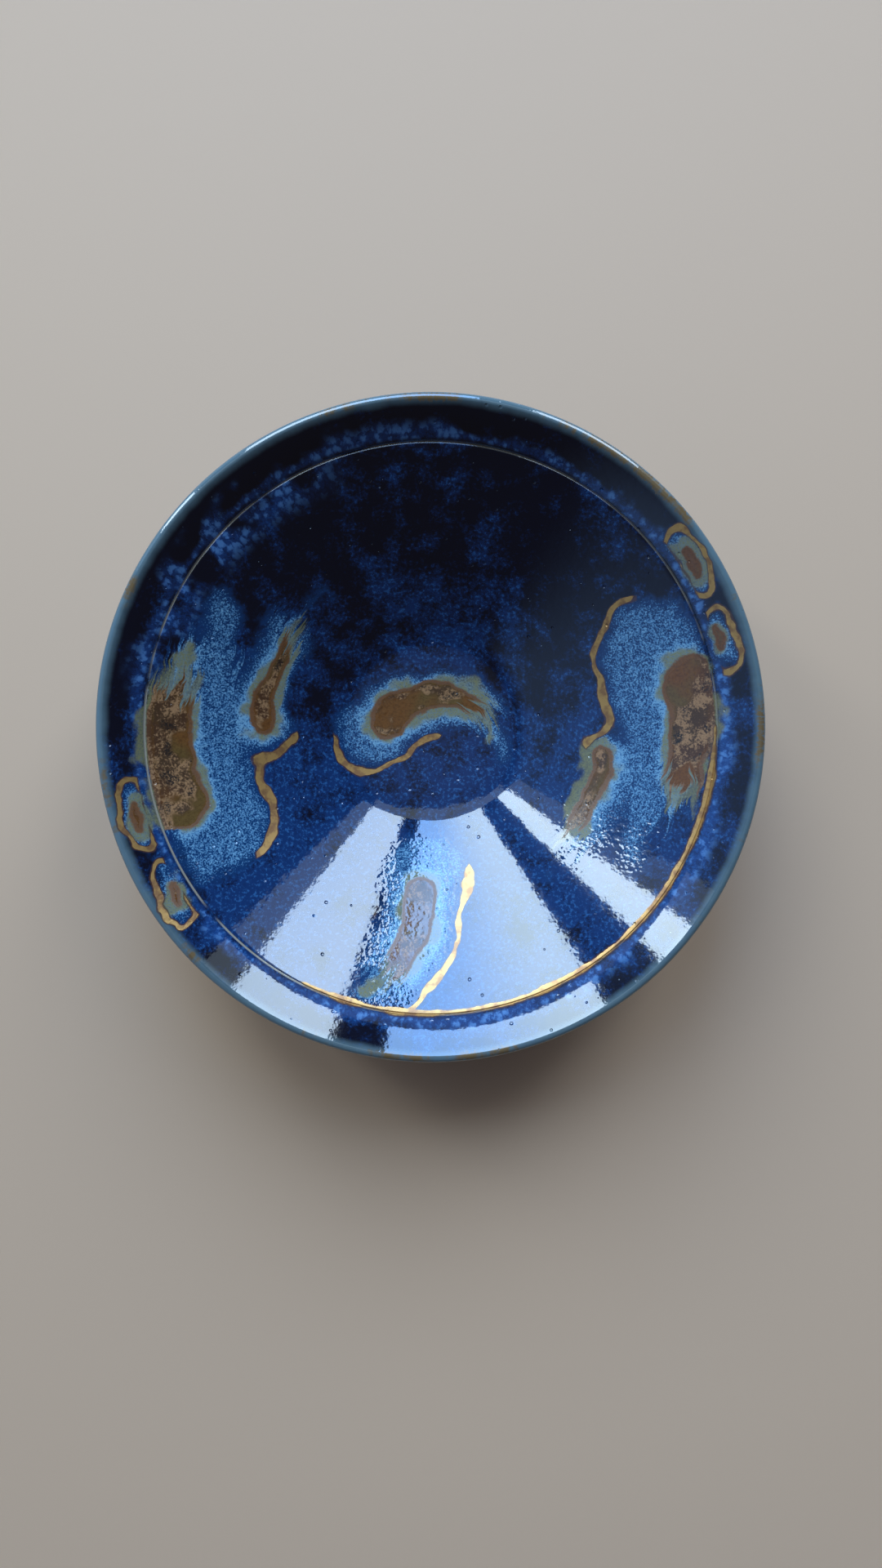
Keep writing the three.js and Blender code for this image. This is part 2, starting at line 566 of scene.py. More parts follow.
strokeInputs = {"plan": "Vector", "at": "Vector", "aim": "Vector", "bend": "Float",
                "halfLength": "Float", "halfWidth": "Float"}
bristles = {
    "size": 2.2,
    "stretch": 0.025,  # a hair's line is drawn out by one over this
    "pullTaper": 0.2,  # how much narrower than its middle a pull's tail is
    "lineTaper": 0.3,  # and the ends of a line
    "gaps": (0.26, 0.44),  # dryness at which gaps start to open and are open
    "gapDepth": 8,
    "traceLater": 0.4,  # the thin colour dries this much later, in halves of a pull
}


def strokePath(tree, arc, given):
    return useGroup(tree, arc, plan=given["plan"], at=given["at"], aim=given["aim"], bend=given["bend"])


def strokeWidth(tree, ahead, given, narrowing):
    share = calc(tree, "DIVIDE", ahead, given["halfLength"])
    share = calc(tree, "MAXIMUM", calc(tree, "MINIMUM", share, 1), -1)
    return times(tree, given["halfWidth"], minus(tree, 1, narrowing(share)))


def strokeEdge(tree, across, past, width):
    ends = put(tree, "ShaderNodeCombineXYZ")
    feed(tree, ends.inputs[0], across)
    feed(tree, ends.inputs[1], calc(tree, "MAXIMUM", past, 0))
    return minus(tree, vectorCalc(tree, "LENGTH", ends.outputs[0]), width)


# One pull of a wide brush: a full head, then bristle lines that run dry towards the tail.
# Distances are to the stroke's edge, below zero on the stroke; the trace is the thin
# colour that the drying bristles still leave.
def brushGroup(arc):
    tree, given, result = newGroup(
        "brushPull", {**strokeInputs, "dryness": "Float", "drag": "Float"},
        {"outline": "Float", "distance": "Float", "trace": "Float"})
    path = strokePath(tree, arc, given)
    across, ahead = path["across"], path["along"]
    bristle = put(tree, "ShaderNodeCombineXYZ")
    feed(tree, bristle.inputs[0], times(tree, ahead, bristles["stretch"]))
    feed(tree, bristle.inputs[1], across)
    feed(tree, bristle.inputs[2], given["halfLength"])
    hairs = minus(tree, cloud(tree, bristle.outputs[0], bristles["size"], 4, 0.75), 0.5)
    share = calc(tree, "DIVIDE", ahead, given["halfLength"])
    width = strokeWidth(
        tree, ahead, given, lambda part: times(tree, part, bristles["pullTaper"]))
    past = minus(tree, calc(tree, "ABSOLUTE", ahead), given["halfLength"])
    tail = calc(tree, "GREATER_THAN", ahead, 0)
    reach = minus(tree, past, times(tree, tail, given["drag"]))
    edge = strokeEdge(tree, across, reach, width)
    feed(tree, result["outline"], edge)
    for label, later in (("distance", 0.0), ("trace", bristles["traceLater"])):
        dry = times(tree, minus(tree, share, later), given["dryness"])
        gaps = between(tree, plus(tree, hairs, dry), *bristles["gaps"], 0, bristles["gapDepth"])
        feed(tree, result[label], plus(tree, edge, gaps))
    return tree


# A line drawn with a fine brush, thinner towards both ends.
def lineGroup(arc):
    tree, given, result = newGroup("drawnLine", strokeInputs, {"distance": "Float"})
    path = strokePath(tree, arc, given)
    ahead = path["along"]
    past = minus(tree, calc(tree, "ABSOLUTE", ahead), given["halfLength"])
    width = strokeWidth(
        tree, ahead, given,
        lambda part: times(tree, calc(tree, "POWER", part, 2), bristles["lineTaper"]))
    feed(tree, result["distance"], strokeEdge(tree, path["across"], past, width))
    return tree


# Brushed decoration in plan: each pull by its middle, its direction in degrees, its
# length and width, and how many degrees it turns.
blueWashes = [
    {"at": (-98, 2), "aim": 88, "length": 84, "width": 38, "curve": -44},
    {"at": (-68, 30), "aim": 66, "length": 56, "width": 22, "curve": -40},
    {"at": (97, -6), "aim": -93, "length": 78, "width": 36, "curve": -42},
    {"at": (72, -36), "aim": -120, "length": 52, "width": 20, "curve": -36},
    {"at": (4, 14), "aim": -4, "length": 66, "width": 28, "curve": -120},
    {"at": (-12, -91), "aim": 244, "length": 54, "width": 34, "curve": -50},
]
rustPulls = [
    {"at": (-109, 0), "aim": 88, "length": 56, "width": 19, "curve": -34},
    {"at": (-68, 24), "aim": 70, "length": 46, "width": 8, "curve": -36},
    {"at": (109, -3), "aim": -92, "length": 50, "width": 17, "curve": -30},
    {"at": (68, -32), "aim": -116, "length": 42, "width": 8, "curve": -36},
    {"at": (4, 17), "aim": -4, "length": 56, "width": 13, "curve": -126},
    {"at": (-10, -89), "aim": 244, "length": 38, "width": 14, "curve": -50},
]
# Dabs on the rim band lie along it, at these turns in degrees.
rimWashes = {"radius": 124.4, "turns": [196, 212, 17, 33], "length": 21, "width": 9.4}
rimRusts = {"radius": 123.8, "turns": [196.5, 211.5, 17.5, 32.5], "length": 10, "width": 4.6}
goldZones = [  # where gold follows the edge of a wash: middle and radius
    {"at": (-20, -8), "radius": 29},
    {"at": (6, -90), "radius": 37},
    {"at": (-74, -25), "radius": 33},
    {"at": (70, 26), "radius": 38},
]
decoration = {
    "haloLight": (0.058, 0.168, 0.305, 1),
    "haloPale": (0.165, 0.330, 0.460, 1),
    "haloDeep": (0.003, 0.033, 0.105, 1),
    "khaki": (0.178, 0.165, 0.072, 1),
    "olive": (0.122, 0.068, 0.020, 1),
    "rust": (0.152, 0.055, 0.014, 1),
    "tan": (0.300, 0.152, 0.066, 1),
    "umber": (0.040, 0.014, 0.006, 1),
    "soot": (0.010, 0.007, 0.006, 1),
    "gold": (0.56, 0.310, 0.098, 1),
    "goldWorn": (0.340, 0.165, 0.066, 1),
    "goldEdge": (0.070, 0.028, 0.016, 1),
    "haloFade": (3.0, -2.5),  # distance from a wash's edge where it starts and is full
    "lightGrains": (0.47, 0.60),
    "paleGrains": (0.58, 0.74),
    "khakiReach": (3.2, 0.6),
    "toneSize": 22,
    "heartSize": 17,
    "lineHeartInner": (112, 116),  # radii of the dry strip along the line
    "lineHeartOuter": (118.4, 117.6),
    "crystalSize": 6,
    "sootSize": 7,
    "wander": 12,
    "wanderSize": 36,
    "ripple": 4.5,
    "rippleSize": 9,
    "dryness": 0.5,
    "drag": 8,  # how far the drying bristles run past the pull's length
    "washBlend": 6,  # how far neighbouring pulls run together
    "rustBlend": 4,
    "rimBlend": 4,
    "lineMargin": 0.6,  # strokes stop this far short of the incised line
    "goldWidth": 2.8,
    "goldAway": 1.5,  # from the wash's edge to the gold's middle
    "goldFade": 7,
    "goldGone": -2.5,  # half width where there is none
    "goldSwell": 2.2,
    "goldSwellSize": 12,
    "goldRagged": 0.7,
    "goldRaggedSize": 2.4,
    "goldWearSize": 5,
    "rimGoldWidth": 1.7,
    "rimGoldAway": 0.4,
    "rimGoldMargin": 3.2,
}


def strokeFrom(stroke):
    return {
        "at": (*stroke["at"], 0), "aim": (0, 0, math.radians(stroke["aim"])),
        "bend": stroke["length"] / math.radians(stroke["curve"]),
        "halfLength": stroke["length"] / 2, "halfWidth": stroke["width"] / 2}


def nearestStroke(tree, group, plan, strokes, softness=0, **extra):
    nearest = {}
    for stroke in strokes:
        found = useGroup(tree, group, plan=plan, **strokeFrom(stroke), **extra)
        for name, edge in found.items():
            if name in nearest:
                edge = calc(tree, "SMOOTH_MIN", nearest[name], edge, softness)
            nearest[name] = edge
    return nearest


def rimStrokes(row):
    curve = math.degrees(row["length"] / row["radius"])
    return [{"at": along((0, 0), turn, row["radius"]), "aim": turn + 90, "length": row["length"],
             "width": row["width"], "curve": curve} for turn in row["turns"]]


# The incised line parts the strokes of the well from those of the rim band.
def brushedEdges(tree, groups, plan, radius, lineRadius):
    slow = swayed(tree, plan, decoration["wanderSize"], 1)
    quick = swayed(tree, plan, decoration["rippleSize"], 1)
    drawn = vectorCalc(tree, "ADD", plan, enlarge(tree, slow, decoration["wander"]))
    drawn = vectorCalc(tree, "ADD", drawn, enlarge(tree, quick, decoration["ripple"]))
    drawn = vectorCalc(tree, "MULTIPLY", drawn, (1, 1, 0))
    pastLine = minus(tree, radius, lineRadius - decoration["lineMargin"])
    insideLine = minus(tree, lineRadius + decoration["lineMargin"], radius)
    brush = {"dryness": decoration["dryness"], "drag": decoration["drag"]}
    washes = nearestStroke(tree, groups["brush"], drawn, blueWashes, decoration["washBlend"], **brush)
    rust = nearestStroke(tree, groups["brush"], drawn, rustPulls, decoration["rustBlend"], **brush)
    rimWash = nearestStroke(
        tree, groups["line"], drawn, rimStrokes(rimWashes), decoration["rimBlend"])["distance"]
    rimRust = nearestStroke(tree, groups["line"], drawn, rimStrokes(rimRusts))["distance"]
    rimEdge = calc(tree, "ABSOLUTE", minus(tree, rimWash, decoration["rimGoldAway"]))

    def parted(inWell, onBand):
        inWell = calc(tree, "MAXIMUM", inWell, pastLine)
        return calc(tree, "MINIMUM", inWell, calc(tree, "MAXIMUM", onBand, insideLine))

    return {
        "outline": calc(tree, "MAXIMUM", washes["outline"], pastLine),
        "wash": parted(washes["distance"], rimWash),
        "rust": parted(rust["distance"], rimRust),
        "trace": parted(rust["trace"], rimRust),
        "rimGold": calc(tree, "MAXIMUM", minus(tree, rimEdge, decoration["rimGoldWidth"] / 2),
                        plus(tree, insideLine, decoration["rimGoldMargin"])),
    }


def goldDistance(tree, plan, edges):
    zone = None
    for item in goldZones:
        apart = vectorCalc(tree, "DISTANCE", plan, (*item["at"], 0))
        near = between(tree, apart, item["radius"], item["radius"] - decoration["goldFade"])
        zone = near if zone is None else calc(tree, "MAXIMUM", zone, near)
    fromEdge = calc(tree, "ABSOLUTE", minus(tree, edges["outline"], decoration["goldAway"]))
    halfWidth = lean(tree, zone, decoration["goldGone"], decoration["goldWidth"] / 2)
    return calc(tree, "MINIMUM", minus(tree, fromEdge, halfWidth), edges["rimGold"])


ringDecor = {
    "pale": (0.310, 0.268, 0.208, 1),
    "paleMiddleDeg": 205,  # the line is palest here
    "paleTurn": (-0.7, 0.8),  # cosines from there where it is least and most pale
    "paleShare": (0.45, 0.9),
    "paleHalf": (0.48, 0.2),  # distance from the line's middle
    "wornSize": 22,
    "worn": (0.30, 0.46),
    "speckBlue": (0.012, 0.060, 0.210, 1),
    "speckPale": (0.075, 0.190, 0.400, 1),
    "speckSpacing": 3.1,
    "speckSway": 3.2,
    "swaySize": 2.6,
    "clumpSize": 15,
    "frostSize": 1.3,
    "bandInner": 118.7,
    "bandWidth": (3.0, 8.0),  # narrowest and widest reach of the speckles
    "bandStart": (-0.2, 1.2),
    "spillMiddleDeg": 140,  # here the speckles spill past the band
    "spillHalfDeg": 36,
    "spillInner": (104, 115),
    "spillOuter": (129, 122),
    "gildWidth": 2.0,
    "gildInside": 0.8,  # the gold lies on the inner edge of the line
    "gildMiddleDeg": -58,
    "gildHalfDeg": 62,
    "gildEndDeg": 4,  # the gold narrows to nothing over this turn
    "gildGone": 2.5,
}


def towards(tree, plan, degrees):
    turn = math.radians(degrees)
    outward = vectorCalc(tree, "NORMALIZE", plan)
    return vectorCalc(tree, "DOT_PRODUCT", outward, (math.cos(turn), math.sin(turn), 0))


def speckledBand(tree, plan, radius, flow):
    out = minus(tree, radius, ringDecor["bandInner"])
    even = vectorCalc(tree, "MULTIPLY", flow, (1, 1, 2))  # as long outwards as around
    sway = swayed(tree, even, ringDecor["swaySize"], 2, 0.6)
    drops = put(tree, "ShaderNodeTexVoronoi", feature="F1")
    feed(tree, drops.inputs["Vector"],
         vectorCalc(tree, "ADD", even, enlarge(tree, sway, ringDecor["speckSway"])))
    drops.inputs["Scale"].default_value = 1 / ringDecor["speckSpacing"]
    clumps = cloud(tree, even, ringDecor["clumpSize"], 2)
    reach = between(tree, clumps, 0.34, 0.66, *ringDecor["bandWidth"])
    inBand = times(tree, between(tree, out, *ringDecor["bandStart"]),
                   between(tree, out, reach, times(tree, reach, 0.25)))
    spill = between(tree, towards(tree, plan, ringDecor["spillMiddleDeg"]),
                    math.cos(math.radians(ringDecor["spillHalfDeg"])), 1)
    spill = times(tree, spill, between(tree, radius, *ringDecor["spillInner"]))
    spill = times(tree, spill, between(tree, radius, *ringDecor["spillOuter"]))
    spill = times(tree, spill, between(tree, clumps, 0.42, 0.56))
    covered = calc(tree, "MAXIMUM", inBand, spill)
    frost = cloud(tree, even, ringDecor["frostSize"], 2, 0.7)
    drop = noisy(tree, drops.outputs["Distance"], frost, 0.9)
    drop = minus(tree, drop, between(tree, clumps, 0.42, 0.62, 0, 0.16))
    haze = times(tree, covered, between(tree, frost, 0.35, 0.65, 0.15, 0.6))
    dots = times(tree, covered, between(tree, drop, 0.70, 0.20))
    colour = tint(tree, between(tree, drop, 0.50, 0.02), ringDecor["speckBlue"], ringDecor["speckPale"])
    return calc(tree, "MAXIMUM", haze, dots), colour


def gildedRing(tree, plan, radius, lineRadius):
    fromRing = calc(tree, "ABSOLUTE", minus(tree, radius, lineRadius - ringDecor["gildInside"]))
    ended = between(tree, towards(tree, plan, ringDecor["gildMiddleDeg"]),
                    math.cos(math.radians(ringDecor["gildHalfDeg"])),
                    math.cos(math.radians(ringDecor["gildHalfDeg"] - ringDecor["gildEndDeg"])),
                    ringDecor["gildGone"], 0)
    return plus(tree, minus(tree, fromRing, ringDecor["gildWidth"] / 2), ended)


# Surface of the glaze: roughness of each finish, size of each texture, depth of each relief.
glazeGloss = {
    "ior": 1.75,
    "base": 0.05,
    "halo": 0.07,
    "rust": 0.14,
    "rustEdge": 0.42,
    "heart": 0.30,
    "gold": 0.34,
    "goldMetal": 0.65,
}
glazeGrain = {
    "fine": 0.75,
    "speck": 1.0,
    "pebble": 2.2,
    "peel": 3.4,
    "patch": 14,
}
glazeRelief = {
    "peel": 0.030,
    "pebble": 0.24,
    "dry": 0.06,
    "pit": 0.2,
    "outsidePit": 0.1,
    "clay": 0.09,
}


def bumped(tree, height):
    bump = put(tree, "ShaderNodeBump")
    bump.inputs["Distance"].default_value = mm
    feed(tree, bump.inputs["Height"], height)
    return bump.outputs[0]


def blendNormals(tree, share, under, over):
    return vectorCalc(tree, "NORMALIZE", mix(tree, "VECTOR", share, under, over))


def surfaceShader(tree, colour, rough, metal, normal):
    shader = put(tree, "ShaderNodeBsdfPrincipled")
    feed(tree, shader.inputs["Base Color"], colour)
    feed(tree, shader.inputs["Roughness"], rough)
    feed(tree, shader.inputs["Metallic"], metal)
    feed(tree, shader.inputs["Normal"], normal)
    shader.inputs["IOR"].default_value = glazeGloss["ior"]
    feed(tree, put(tree, "ShaderNodeOutputMaterial").inputs[0], shader.outputs[0])


def newMaterial(name):
    material = bpy.data.materials.new(name)
    material.use_nodes = True
    material.node_tree.nodes.clear()
    return material, material.node_tree


# The glaze pooled towards one side and under the lip.
pooling = {
    "across": (-40, 95),
    "acrossThickness": (-0.04, 0.09),
    "underLip": (120, 127),
    "underLipThickness": (0, 0.08),
}


def pooledCobalt(tree, groups, spot):
    side = put(tree, "ShaderNodeSeparateXYZ")
    feed(tree, side.inputs[0], spot["plan"])
    pooled = between(tree, side.outputs[1], *pooling["across"], *pooling["acrossThickness"])
    lipPool = between(tree, spot["radius"], *pooling["underLip"], *pooling["underLipThickness"])
    pooled = plus(tree, pooled, lipPool)
    return useGroup(tree, groups["cobalt"], place=spot["place"], thickness=pooled)["colour"]


# Blue wash: grains that thicken towards the brushed strokes.
def blueWash(tree, colour, edges, grain):
    near = noisy(tree, noisy(tree, edges["wash"], grain["patch"], 11), grain["pebble"], 5)
    filled = between(tree, near, *decoration["haloFade"])
    grains = plus(tree, grain["fine"], between(tree, near, 4.5, -6, -0.30, 0.05))
    byRust = noisy(tree, edges["rust"], grain["patch"], 8)
    grains = plus(tree, grains, between(tree, byRust, 6, 1, 0, 0.16))
    grains = noisy(tree, grains, grain["pebble"], 0.25)
    colour = tint(tree, times(tree, filled, 0.9), colour, decoration["haloDeep"])
    colour = tint(tree, between(tree, grains, *decoration["lightGrains"]), colour, decoration["haloLight"])
    colour = tint(tree, between(tree, grains, *decoration["paleGrains"]), colour, decoration["haloPale"])
    return colour, filled


# Rust with a khaki fringe and trace, dry tan crystals in the heart and along the line.
def rustOver(tree, colour, edges, grain, place, radius):
    speck, fine = grain["speck"], grain["fine"]
    ragged = noisy(tree, edges["rust"], speck, 1.6)
    fringe = between(tree, noisy(tree, ragged, grain["patch"], 18), *decoration["khakiReach"])
    trace = between(tree, noisy(tree, edges["trace"], speck, 3), 0.4, -2.0)
    khaki = calc(tree, "MAXIMUM", fringe, times(tree, trace, 0.85))
    khaki = times(tree, khaki, between(tree, fine, 0.36, 0.62, 0.62, 0.97))
    colour = tint(tree, khaki, colour, decoration["khaki"])
    rust = between(tree, ragged, 0.3, -0.7)
    tone = cloud(tree, place, decoration["toneSize"], 2)
    rustColour = tint(tree, between(tree, tone, 0.40, 0.60), decoration["rust"], decoration["olive"])
    rustColour = tint(tree, between(tree, ragged, -3.0, -1.0), rustColour, decoration["rust"])
    rustColour = tint(tree, between(tree, speck, 0.40, 0.75, 0, 0.5), rustColour, decoration["umber"])
    colour = tint(tree, rust, colour, rustColour)
    atLine = times(tree, between(tree, radius, *decoration["lineHeartInner"]),
                   between(tree, radius, *decoration["lineHeartOuter"]))
    atLine = times(tree, times(tree, atLine, rust), 0.75)
    heart = times(tree, between(tree, cloud(tree, place, decoration["heartSize"], 2), 0.41, 0.52),
                  between(tree, noisy(tree, ragged, grain["pebble"], 3), -1.4, -3.4))
    heart = calc(tree, "MAXIMUM", heart, atLine)
    colour = tint(tree, times(tree, heart, 0.8), colour, decoration["umber"])
    crystals = noisy(tree, speck, cloud(tree, place, decoration["crystalSize"], 2), 0.9)
    crystals = times(tree, between(tree, crystals, 0.42, 0.66), between(tree, heart, 0.1, 0.7))
    colour = tint(tree, crystals, colour, decoration["tan"])
    burnt = times(tree, between(tree, cloud(tree, place, decoration["sootSize"], 2), 0.55, 0.65),
                  between(tree, fine, 0.58, 0.44))
    colour = tint(tree, times(tree, burnt, heart), colour, decoration["soot"])
    return colour, {"ragged": ragged, "rust": rust, "heart": heart}


# Incised line, pale where the glaze breaks over its edges.
def paleLine(tree, colour, spot, lineRadius):
    fromLine = calc(tree, "ABSOLUTE", minus(tree, spot["radius"], lineRadius))
    worn = between(tree, cloud(tree, spot["flow"], ringDecor["wornSize"], 3), *ringDecor["worn"])
    inLine = times(tree, between(tree, fromLine, *ringDecor["paleHalf"]), worn)
    bare = between(tree, towards(tree, spot["plan"], ringDecor["paleMiddleDeg"]),
                   *ringDecor["paleTurn"], *ringDecor["paleShare"])
    return tint(tree, times(tree, inLine, bare), colour, ringDecor["pale"])


# Gold lustre with a dull edge.
def goldOver(tree, colour, edges, spot, lineRadius):
    place, plan = spot["place"], spot["plan"]
    gilded = calc(tree, "MINIMUM", goldDistance(tree, plan, edges),
                  gildedRing(tree, plan, spot["radius"], lineRadius))
    swell = cloud(tree, place, decoration["goldSwellSize"], 1)
    gilded = noisy(tree, gilded, swell, decoration["goldSwell"])
    ragged = cloud(tree, place, decoration["goldRaggedSize"], 2)
    gilded = noisy(tree, gilded, ragged, decoration["goldRagged"])
    gold = between(tree, gilded, 0.12, -0.12)
    colour = tint(tree, times(tree, between(tree, gilded, 0.7, 0.25), 0.75), colour,
                  decoration["goldEdge"])
    goldColour = tint(tree, between(tree, cloud(tree, place, decoration["goldWearSize"], 3, 0.6), 0.44, 0.62),
                      decoration["gold"], decoration["goldWorn"])
    return tint(tree, gold, colour, goldColour), gold


def decoratedGlaze(groups, form):
    material, tree = newMaterial("decoratedGlaze")
    coordinates = put(tree, "ShaderNodeTexCoord").outputs["Object"]
    spot = useGroup(tree, groups["place"], coordinates=coordinates)
    place, plan, radius, flow = spot["place"], spot["plan"], spot["radius"], spot["flow"]
    edges = brushedEdges(tree, groups, plan, radius, form["lineRadius"])
    grain = {
        "fine": cloud(tree, place, glazeGrain["fine"], 2, 0.7),
        "speck": cloud(tree, place, glazeGrain["speck"], 2, 0.75),
        "pebble": cloud(tree, place, glazeGrain["pebble"], 1),
        "patch": cloud(tree, place, glazeGrain["patch"], 2),
    }

    colour = pooledCobalt(tree, groups, spot)
    dots, dotColour = speckledBand(tree, plan, radius, flow)
    colour = tint(tree, dots, colour, dotColour)
    colour, filled = blueWash(tree, colour, edges, grain)
    colour, masks = rustOver(tree, colour, edges, grain, place, radius)
    colour = paleLine(tree, colour, spot, form["lineRadius"])
    pits = useGroup(tree, groups["pits"], place=place)
    colour = tint(tree, times(tree, pits["flecks"], 0.5), colour, glazePits["fleck"])
    colour = useGroup(tree, groups["lip"], colour=colour, radius=radius, height=spot["height"],
                      flow=flow)["colour"]
    colour, gold = goldOver(tree, colour, edges, spot, form["lineRadius"])

    rough = lean(tree, filled, glazeGloss["base"], glazeGloss["halo"])
    rough = lean(tree, masks["rust"], rough, glazeGloss["rust"])
    rustEdge = between(tree, calc(tree, "ABSOLUTE", plus(tree, masks["ragged"], 1.0)), 1.2, 0.6)
    rough = lean(tree, rustEdge, rough, glazeGloss["rustEdge"])
    rough = lean(tree, masks["heart"], rough, glazeGloss["heart"])
    rough = lean(tree, gold, rough, glazeGloss["gold"])

    # pebbled where the wash is thick, dry in the hearts and at the edges of the rust
    peel = times(tree, cloud(tree, place, glazeGrain["peel"], 2), glazeRelief["peel"])
    peel = minus(tree, peel, times(tree, pits["pits"], glazeRelief["pit"]))
    pebbled = plus(tree, peel, times(tree, grain["pebble"], glazeRelief["pebble"]))
    dry = plus(tree, peel, times(tree, grain["speck"], glazeRelief["dry"]))
    broken = times(tree, filled, between(tree, grain["patch"], 0.34, 0.50))
    normal = blendNormals(tree, broken, bumped(tree, peel), bumped(tree, pebbled))
    normal = blendNormals(tree, calc(tree, "MAXIMUM", masks["heart"], rustEdge), normal, bumped(tree, dry))
    surfaceShader(tree, colour, rough, times(tree, gold, glazeGloss["goldMetal"]), normal)
    return material


outsideFinish = {
    "thickness": 0.02,
    "clay": (0.40, 0.235, 0.125, 1),
    "clayDark": (0.25, 0.130, 0.062, 1),
    "clayFleck": (0.060, 0.032, 0.018, 1),
    "edgeRust": (0.090, 0.038, 0.015, 1),
    "edgeReach": 1.6,  # height of the rust over the glaze's edge
    "gritSize": 0.9,
    "turningSize": 1.8,
    "clayRough": 0.82,
}


def outsideGlaze(groups):
    material, tree = newMaterial("outsideGlaze")
    coordinates = put(tree, "ShaderNodeTexCoord").outputs["Object"]
    spot = useGroup(tree, groups["place"], coordinates=coordinates)
    place, flow = spot["place"], spot["flow"]
    colour = useGroup(tree, groups["cobalt"], place=place, thickness=outsideFinish["thickness"])["colour"]
    colour = useGroup(tree, groups["lip"], colour=colour, radius=spot["radius"],
                      height=spot["height"], flow=flow)["colour"]
    pits = useGroup(tree, groups["pits"], place=place)
    colour = tint(tree, times(tree, pits["flecks"], 0.4), colour, glazePits["fleck"])

    # bare clay under the glaze's edge, with the lines of turning
    above = put(tree, "ShaderNodeAttribute", attribute_name="aboveGlazeEdge").outputs["Fac"]
    grit = cloud(tree, place, outsideFinish["gritSize"], 2, 0.7)
    edge = noisy(tree, above, grit, 0.5)
    glazed = between(tree, edge, -0.15, 0.15)
    thin = times(tree, between(tree, edge, outsideFinish["edgeReach"], 0.0), 0.8)
    colour = tint(tree, thin, colour, outsideFinish["edgeRust"])
    turning = vectorCalc(tree, "MULTIPLY", place, (0.12, 0.12, 1))  # drawn out round the foot
    clay = tint(tree, between(tree, cloud(tree, turning, outsideFinish["turningSize"], 4, 0.6), 0.35, 0.65),
                outsideFinish["clay"], outsideFinish["clayDark"])
    clay = tint(tree, between(tree, grit, 0.62, 0.70), clay, outsideFinish["clayFleck"])
    colour = tint(tree, glazed, clay, colour)
    rough = lean(tree, glazed, outsideFinish["clayRough"], glazeGloss["base"])
    peel = times(tree, cloud(tree, place, glazeGrain["peel"], 2), glazeRelief["peel"])
    height = lean(tree, glazed, times(tree, grit, glazeRelief["clay"]), peel)
    height = minus(tree, height, times(tree, pits["pits"], glazeRelief["outsidePit"]))
    surfaceShader(tree, colour, rough, 0.0, bumped(tree, height))
    return material


# Studio: a bank of softboxes behind the bowl, dim boards round it and a dark room.
studio = {
    "keyDistance": 1.3,
    "keyTurnDeg": 97,  # direction of the bank, from +X
    "softboxes": [  # edges in degrees, brightness, colours at the two edges
        (-45, -25, 9.5, (0.58, 0.77, 1.0, 1), (0.62, 0.80, 1.0, 1)),
        (-15, 26, 10.0, (0.27, 0.52, 1.0, 1), (0.62, 0.82, 1.0, 1)),
        (38, 46, 11.0, (0.66, 0.85, 1.0, 1), (0.70, 0.87, 1.0, 1)),
    ],
    "softboxLow": 24,
    "softboxHigh": 62,
    "softboxBlend": (0.1, 0.9),  # share of the width where one colour turns into the other
    "boards": [  # left, right, low and high edges in degrees, and brightness
        (-52, -45, 24, 62, 0.9),
        (46, 54, 24, 62, 0.6),
        (-45, 45, 62, 73.5, 1.0),
        (-45, 45, 8, 24, 0.35),
    ],
    "boardColour": (0.66, 0.84, 1.0, 1),
    "roomColour": (0.050, 0.042, 0.040, 1),
    "veilColour": (0.20, 0.30, 0.50, 1),  # the room is paler to the left
    "veilSide": (-0.35, -0.75),
    "ceilingColour": (0.17, 0.175, 0.16, 1),
    "ceilingHeight": (0.905, 0.995),
    "backdropColour": (0.400, 0.385, 0.365, 1),  # seen past the floor, not mirrored
    "floorColour": (0.585, 0.395, 0.262, 1),
    "floorRough": 0.7,
    "floorHalf": 8,  # metres
    "floorBelow": 0.0002,
    "floorFade": (0.6, 1.7),  # metres from the bowl where the floor turns into the backdrop
}


def panelLight(name, left, right, low, high, radiance, colour, farColour):
    distance = studio["keyDistance"]
    left, right = distance * slope(left), distance * slope(right)
    bottom, top = distance * slope(low), distance * slope(high)
    light = bpy.data.lights.new(name, "AREA")
    light.shape = "RECTANGLE"
    light.size = right - left
    light.size_y = top - bottom
    light.energy = radiance * math.pi * light.size * light.size_y
    light.use_nodes = True
    tree = light.node_tree
    tree.nodes.clear()
    split = put(tree, "ShaderNodeSeparateXYZ")
    feed(tree, split.inputs[0], put(tree, "ShaderNodeNewGeometry").outputs["Parametric"])
    glow = put(tree, "ShaderNodeEmission")
    far = between(tree, split.outputs[0], *studio["softboxBlend"])
    feed(tree, glow.inputs["Color"], tint(tree, far, colour, farColour))
    feed(tree, put(tree, "ShaderNodeOutputLight").inputs[0], glow.outputs[0])
    lamp = bpy.data.objects.new(name, light)
    bpy.context.scene.collection.objects.link(lamp)
    turn = math.radians(studio["keyTurnDeg"])
    forward = Vector((math.cos(turn), math.sin(turn), 0))
    sideways = Vector((-forward.y, forward.x, 0))
    lamp.location = forward * distance + sideways * (left + right) / 2 + Vector((0, 0, (bottom + top) / 2))
    lamp.rotation_euler = (-forward).to_track_quat("-Z", "Y").to_euler()
    lamp.visible_camera = False


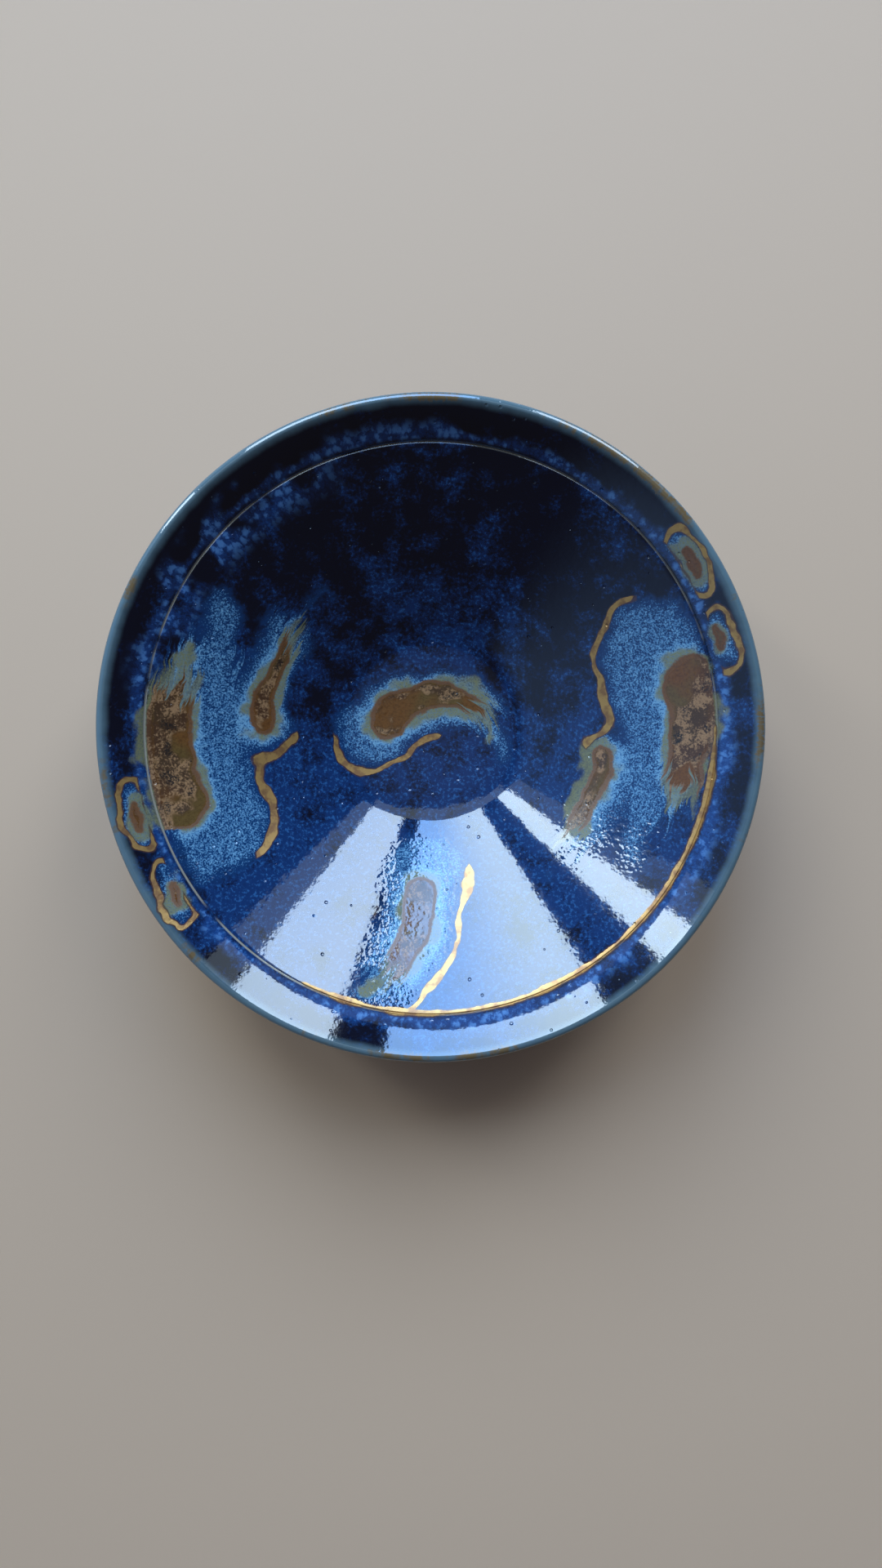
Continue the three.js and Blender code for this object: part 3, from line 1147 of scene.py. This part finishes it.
def lightStudio():
    for number, (left, right, radiance, colour, farColour) in enumerate(studio["softboxes"]):
        panelLight(f"softbox{number + 1}", left, right, studio["softboxLow"], studio["softboxHigh"],
                   radiance, colour, farColour)
    for number, (left, right, low, high, radiance) in enumerate(studio["boards"]):
        panelLight(f"board{number + 1}", left, right, low, high, radiance,
                   studio["boardColour"], studio["boardColour"])
    world = bpy.data.worlds.new("studioRoom")
    bpy.context.scene.world = world
    world.use_nodes = True
    tree = world.node_tree
    tree.nodes.clear()
    split = put(tree, "ShaderNodeSeparateXYZ")
    feed(tree, split.inputs[0], put(tree, "ShaderNodeTexCoord").outputs["Generated"])
    veil = between(tree, split.outputs[0], *studio["veilSide"])
    sky = put(tree, "ShaderNodeBackground")
    room = tint(tree, veil, studio["roomColour"], studio["veilColour"])
    ceiling = between(tree, split.outputs[2], *studio["ceilingHeight"])
    room = tint(tree, ceiling, room, studio["ceilingColour"])
    seen = put(tree, "ShaderNodeLightPath").outputs["Is Camera Ray"]
    feed(tree, sky.inputs["Color"], tint(tree, seen, room, studio["backdropColour"]))
    feed(tree, put(tree, "ShaderNodeOutputWorld").inputs[0], sky.outputs[0])


def layFloor():
    bm = bmesh.new()
    bmesh.ops.create_grid(bm, x_segments=1, y_segments=1, size=studio["floorHalf"])
    bmesh.ops.translate(bm, verts=bm.verts, vec=(0, 0, -studio["floorBelow"]))
    mesh = bpy.data.meshes.new("studioFloor")
    bm.to_mesh(mesh)
    bm.free()
    floor = bpy.data.objects.new("studioFloor", mesh)
    bpy.context.scene.collection.objects.link(floor)
    material, tree = newMaterial("paleFloor")
    shader = put(tree, "ShaderNodeBsdfPrincipled")
    shader.inputs["Base Color"].default_value = studio["floorColour"]
    shader.inputs["Roughness"].default_value = studio["floorRough"]
    away = vectorCalc(tree, "LENGTH", put(tree, "ShaderNodeTexCoord").outputs["Object"])
    seen = put(tree, "ShaderNodeLightPath").outputs["Is Camera Ray"]
    fade = times(tree, between(tree, away, *studio["floorFade"]), seen)
    backdrop = put(tree, "ShaderNodeEmission")
    backdrop.inputs["Color"].default_value = studio["backdropColour"]
    meet = put(tree, "ShaderNodeMixShader")
    feed(tree, meet.inputs[0], fade)
    feed(tree, meet.inputs[1], shader.outputs[0])
    feed(tree, meet.inputs[2], backdrop.outputs[0])
    feed(tree, put(tree, "ShaderNodeOutputMaterial").inputs[0], meet.outputs[0])
    mesh.materials.append(material)


photoView = {
    "focalPixels": 1442,
    "longSide": 1920,
    "sensorWidth": 36,
    "aboveRim": 475.4,  # camera above the rim's widest ring
    "tiltDown": -2.56,
    "tiltAcross": -0.47,
    "clipStart": 10,
}


def placeCamera(form, view):
    lens = bpy.data.cameras.new("photoCamera")
    lens.sensor_width = view["sensorWidth"]
    lens.lens = lens.sensor_width * view["focalPixels"] / view["longSide"]
    lens.clip_start = view["clipStart"] * mm
    camera = bpy.data.objects.new("photoCamera", lens)
    bpy.context.scene.collection.objects.link(camera)
    camera.location = (0, 0, (form["height"] - form["lipRadius"] + view["aboveRim"]) * mm)
    camera.rotation_euler = (math.radians(view["tiltDown"]), math.radians(view["tiltAcross"]), 0)
    bpy.context.scene.camera = camera


placeCamera(bowlForm, photoView)
bpy.context.scene.view_settings.view_transform = "Standard"
lightStudio()
layFloor()
print("studio set")

arcPath = arcGroup()
groups = {
    "place": bowlPlaceGroup(),
    "cobalt": cobaltGroup(cobaltGlaze),
    "lip": lipGroup(lipGlaze, bowlPoints(bowlForm)),
    "pits": pitsGroup(glazePits),
    "brush": brushGroup(arcPath),
    "line": lineGroup(arcPath),
}
bowl = makeBowl(bowlForm, handMarks)
bowl.data.materials.append(decoratedGlaze(groups, bowlForm))
bowl.data.materials.append(outsideGlaze(groups))
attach(bowl, "root")
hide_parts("bowl")
print("bowl glazed")
